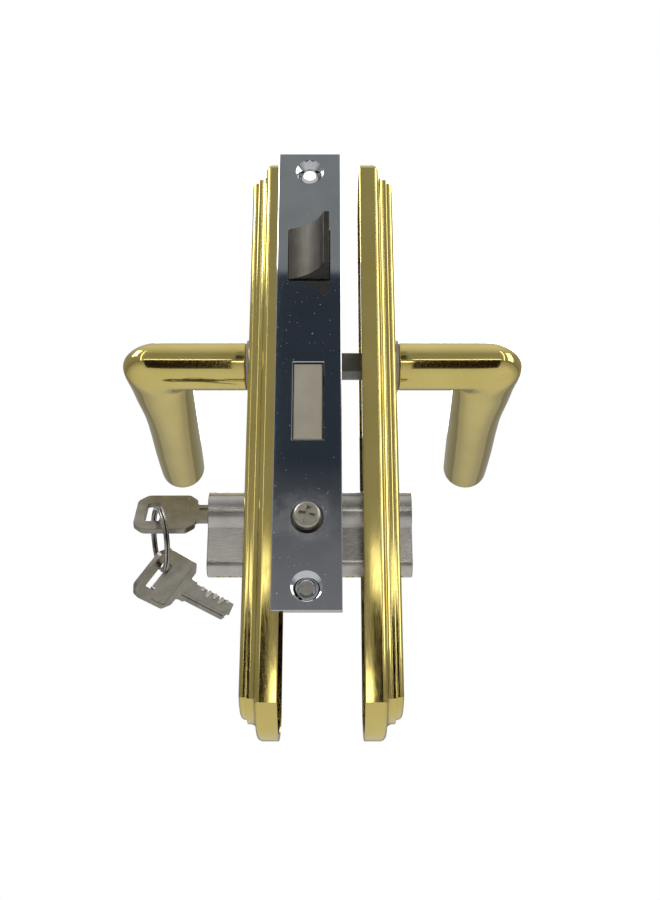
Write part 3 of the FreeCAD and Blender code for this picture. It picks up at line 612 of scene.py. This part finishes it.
def key_mesh():
    """Bow's outer end at x = 0, blade along +X, cuts on the -Z side."""
    bow_half = 11.0
    corner_cut = 3.6
    taper_x = 19.8
    waist_half = 7.8
    half_blade = 4.1
    root_half = half_blade + 1.0
    collar_half = half_blade + 0.6
    collar_x = 24.2
    neck_end = BOW_LENGTH + 5.0
    blade_x = neck_end - 0.3
    tip = neck_end + 29.0
    outline = [(0.0, bow_half - corner_cut), (corner_cut, bow_half), (taper_x, bow_half)]
    outline += [(BOW_LENGTH, waist_half), (BOW_LENGTH, root_half)]
    radii = [2.6, 3.4, 2.2, 2.2, 0.0]
    outline += [(collar_x, collar_half), (blade_x, collar_half), (blade_x, half_blade)]
    radii += [0.0] * 3
    outline += [(tip - 2.4, half_blade), (tip, half_blade - 3.4), (tip - 2.0, -half_blade)]
    radii += [0.8, 0.5, 0.5]
    depths = (1.6, 3.0, 2.2, 3.2, 1.2)
    first_cut = neck_end + 5.0
    pitch = 4.5
    flat = 0.55
    slope = 0.434
    for i in reversed(range(len(depths))):
        x = first_cut + i * pitch
        low = depths[i] - half_blade
        run = slope * depths[i]
        outline += [(x + flat + run, -half_blade), (x + flat, low)]
        outline += [(x - flat, low), (x - flat - run, -half_blade)]
        radii += [0.0] * 4
    outline += [(blade_x, -half_blade), (blade_x, -collar_half), (collar_x, -collar_half)]
    radii += [0.0] * 3
    outline += [(BOW_LENGTH, -root_half), (BOW_LENGTH, -waist_half)]
    outline += [(taper_x, -bow_half), (corner_cut, -bow_half), (0.0, corner_cut - bow_half)]
    radii += [0.0, 2.2, 2.2, 3.4, 2.6]
    mesh = slab_mesh(rounded(outline, radii), -KEY_T / 2, KEY_T / 2)
    cutters = [slab_mesh(rounded_box(4.0, 9.5, 5.75, 0.9), -5, 5)]
    panel = rounded_box(11.1, 19.6, 9.2, 1.2)
    panel_depth = 0.25
    groove_depth = 0.65
    for side in (-1, 1):
        beyond = side * (KEY_T / 2 + 1)
        low, high = sorted((side * (KEY_T / 2 - panel_depth), beyond))
        cutters.append(slab_mesh(panel, low, high))
        low, high = sorted((side * (KEY_T / 2 - groove_depth), beyond))
        cutters.append(box_mesh(24.0, tip + 1, low, high, 1.1, 2.5))
    return carve(mesh, cutters, 0.16)


def key_1_mesh():
    mesh = key_mesh()
    turn = Matrix.Rotation(math.radians(KEY_TURNED), 4, "X")
    mesh.transform(Matrix.Translation((KEY_1_END_X * MM, BACKSET * MM, CYLINDER_Z * MM)) @ turn)
    return mesh


def key_2_mesh():
    mesh = key_mesh()
    up = -KEY_2_DOWN
    up = (up - KEY_2_ALONG * up.dot(KEY_2_ALONG)).normalized()
    across = up.cross(KEY_2_ALONG)
    place = Matrix((KEY_2_ALONG, across, up)).transposed().to_4x4()
    mesh.transform(Matrix.Translation(KEY_2_END * MM) @ place)
    return mesh


def ring_mesh():
    """Two close turns of flattened wire through both bows, stepping across from one turn to the next."""
    tilt = math.radians(KEY_TURNED)
    top = Vector((KEY_1_END_X + 6.6, BACKSET, CYLINDER_Z))
    top -= Vector((0, math.sin(tilt), math.cos(tilt))) * 3.5
    bottom = KEY_2_END + KEY_2_ALONG * 6.45 + KEY_2_DOWN * 2.6
    toward_viewer = Vector((0.30, -0.95, 0))
    chord = bottom - top
    normal = chord.cross(toward_viewer).normalized()
    inward = normal.cross(chord).normalized()
    if inward.y > 0:
        inward = -inward
    mean_r = 11.4
    middle = (top + bottom) / 2 + inward * math.sqrt(mean_r ** 2 - (chord.length / 2) ** 2)
    side = normal.cross(Vector((0, 0, 1))).normalized()
    other = normal.cross(side)
    wire_half_width = 0.50
    wire_half_depth = 0.9
    half_gap = 0.51
    start_angle = 1.0
    turns = 2
    steps = 240
    around = 20
    rings = []
    for i in range(steps + 1):
        t = i / steps * turns
        angle = 2 * math.pi * t + start_angle
        share = min(max((t - 0.95) / 0.1, 0.0), 1.0)
        shift = (ease(share) * 2 - 1) * half_gap
        out = side * math.cos(angle) + other * math.sin(angle)
        base = middle + out * mean_r + normal * shift
        ends = min(t, turns - t)
        taper = 0.6 + 0.4 * min(1.0, ends / 0.01)
        ring = []
        for k in range(around):
            a = 2 * math.pi * k / around
            point = base + out * wire_half_depth * taper * math.cos(a)
            point += normal * wire_half_width * taper * math.sin(a)
            ring.append(tuple(point))
        rings.append(ring)
    return tube_mesh("ring", rings)


piece_from("key_in_cylinder", key_1_mesh(), "key_1", "key_1", 30.0)
piece_from("key_on_ring", key_2_mesh(), "key_2", "key_2", 30.0)
piece_from("ring_wire", ring_mesh(), "split_ring", "split_ring", 50.0)


# ---------------------------------------------------------------- stage and light
def add_floor():
    mesh = bpy.data.meshes.new("floor")
    size = 4.0
    level = -0.50
    corners = [(-size, -size, level), (size, -size, level), (size, size, level), (-size, size, level)]
    mesh.from_pydata(corners, [], [(0, 1, 2, 3)])
    floor = bpy.data.objects.new("floor", mesh)
    bpy.context.scene.collection.objects.link(floor)
    material, tree, shader = new_material("pale_floor")
    shade = noise(tree, 6.0, 3.0)
    tree.links.new(tint(tree, shade, (0.80, 0.80, 0.80), (0.84, 0.84, 0.83)), shader.inputs["Base Color"])
    shader.inputs["Roughness"].default_value = 0.8
    mesh.materials.append(material)


def area_light(name, place, target, width, height, power, colour=(1.0, 1.0, 1.0)):
    light = bpy.data.lights.new(name, "AREA")
    light.shape = "RECTANGLE"
    light.size = width
    light.size_y = height
    light.energy = power
    light.color = colour
    obj = bpy.data.objects.new(name, light)
    obj.location = place
    obj.rotation_euler = (Vector(target) - Vector(place)).to_track_quat("-Z", "Y").to_euler()
    bpy.context.scene.collection.objects.link(obj)
    return obj


def add_world():
    world = bpy.data.worlds.new("studio")
    bpy.context.scene.world = world
    world.use_nodes = True
    tree = world.node_tree
    tree.nodes.clear()
    output = tree.nodes.new("ShaderNodeOutputWorld")
    backdrop = tree.nodes.new("ShaderNodeBackground")
    backdrop.inputs["Color"].default_value = (1.0, 1.0, 1.0, 1.0)
    backdrop.inputs["Strength"].default_value = 1.0
    room = tree.nodes.new("ShaderNodeBackground")
    room.inputs["Strength"].default_value = 1.0
    coords = tree.nodes.new("ShaderNodeTexCoord")
    split = tree.nodes.new("ShaderNodeSeparateXYZ")
    tree.links.new(coords.outputs["Generated"], split.inputs["Vector"])
    colours = tree.nodes.new("ShaderNodeValToRGB")
    shades = colours.color_ramp
    shades.elements[0].position = 0.0
    shades.elements[0].color = (0.40, 0.38, 0.35, 1)
    shades.elements[1].position = 1.0
    shades.elements[1].color = (0.85, 0.85, 0.85, 1)
    bands = [(0.45, (0.26, 0.25, 0.23)), (0.55, (0.30, 0.30, 0.29)), (0.68, (0.36, 0.36, 0.35))]
    bands += [(0.80, (0.34, 0.34, 0.33)), (0.92, (0.62, 0.62, 0.62))]
    for place, colour in bands:
        shades.elements.new(place).color = (*colour, 1)
    tree.links.new(ramp(tree, split.outputs["Z"], 0.0, 1.0, -1.0, 1.0), colours.inputs["Fac"])
    tree.links.new(colours.outputs["Color"], room.inputs["Color"])
    path = tree.nodes.new("ShaderNodeLightPath")
    mix = tree.nodes.new("ShaderNodeMixShader")
    tree.links.new(path.outputs["Is Camera Ray"], mix.inputs["Fac"])
    tree.links.new(room.outputs["Background"], mix.inputs[1])
    tree.links.new(backdrop.outputs["Background"], mix.inputs[2])
    tree.links.new(mix.outputs["Shader"], output.inputs["Surface"])


def reflector(name, x0, x1, z0, z1, shades):
    """An upright panel in front of the set, seen only in reflections.

    shades are (height, colour): the panel's foot first, then its top, then any between.
    """
    y = -0.60
    mesh = bpy.data.meshes.new(name)
    mesh.from_pydata([(x0, y, z0), (x1, y, z0), (x1, y, z1), (x0, y, z1)], [], [(0, 1, 2, 3)])
    panel = bpy.data.objects.new(name, mesh)
    bpy.context.scene.collection.objects.link(panel)
    material = bpy.data.materials.new(name)
    material.use_nodes = True
    tree = material.node_tree
    tree.nodes.clear()
    output = tree.nodes.new("ShaderNodeOutputMaterial")
    glow = tree.nodes.new("ShaderNodeEmission")
    tree.links.new(glow.outputs["Emission"], output.inputs["Surface"])
    coords = tree.nodes.new("ShaderNodeTexCoord")
    split = tree.nodes.new("ShaderNodeSeparateXYZ")
    tree.links.new(coords.outputs["Object"], split.inputs["Vector"])
    colours = tree.nodes.new("ShaderNodeValToRGB")
    steps = colours.color_ramp
    for i, (height, colour) in enumerate(shades):
        place = (height - z0) / (z1 - z0)
        if i < 2:
            steps.elements[i].position = place
            steps.elements[i].color = (*colour, 1)
        else:
            steps.elements.new(place).color = (*colour, 1)
    tree.links.new(ramp(tree, split.outputs["Z"], 0.0, 1.0, z0, z1), colours.inputs["Fac"])
    tree.links.new(colours.outputs["Color"], glow.inputs["Color"])
    mesh.materials.append(material)
    panel.visible_camera = False
    panel.visible_diffuse = False
    panel.visible_shadow = False


add_floor()
add_world()

# What the forend and the brass mirror: a dim room with a dark middle, bright strips beside and below it.
NAVY = (0.036, 0.046, 0.060)
forend_shades = [(0.052, (0.24, 0.24, 0.25)), (0.85, (0.30, 0.31, 0.31))]
forend_shades += [(0.11, (0.19, 0.19, 0.20)), (0.155, (0.095, 0.10, 0.11))]
forend_shades += [(0.195, NAVY), (0.389, NAVY), (0.395, (0.27, 0.285, 0.285))]
reflector("forend_panel", -0.046, 0.030, 0.052, 0.85, forend_shades)
DARK = (0.020, 0.014, 0.010)
low_shades = [(-0.45, (0.10, 0.09, 0.08)), (0.085, DARK), (-0.30, DARK)]
strip_shades = [(0.094, (3.2, 3.1, 2.9)), (0.140, (1.4, 1.4, 1.3))]
for side, x0, x1 in (("left", -0.33, -0.085), ("right", 0.072, 0.33)):
    reflector(side + "_low_panel", x0, x1, -0.45, 0.085, low_shades)
    reflector(side + "_bright_strip", x0, x1, 0.094, 0.140, strip_shades)
PALE = (3.6, 3.5, 3.3)
for side, x0, x1 in (("left", -0.450, -0.405), ("right", 0.445, 0.490)):
    reflector(side + "_tall_strip", x0, x1, 0.05, 1.10, [(0.05, PALE), (1.10, PALE)])
WARM = (4.5, 4.4, 4.0)
reflector("foot_strip", -0.070, 0.075, -0.030, 0.016, [(-0.030, WARM), (0.016, WARM)])
area_light("key_light", (-0.9, -0.25, 0.95), (0, 0.05, 0), 0.6, 0.6, 7.0)
area_light("fill_light", (0.95, -0.35, 0.5), (0, 0.05, 0), 0.5, 0.8, 3.5)
area_light("rim_light", (0.2, 1.2, 0.8), (0, 0.05, 0), 1.0, 0.6, 6.0)
bpy.context.scene.view_settings.view_transform = "Standard"
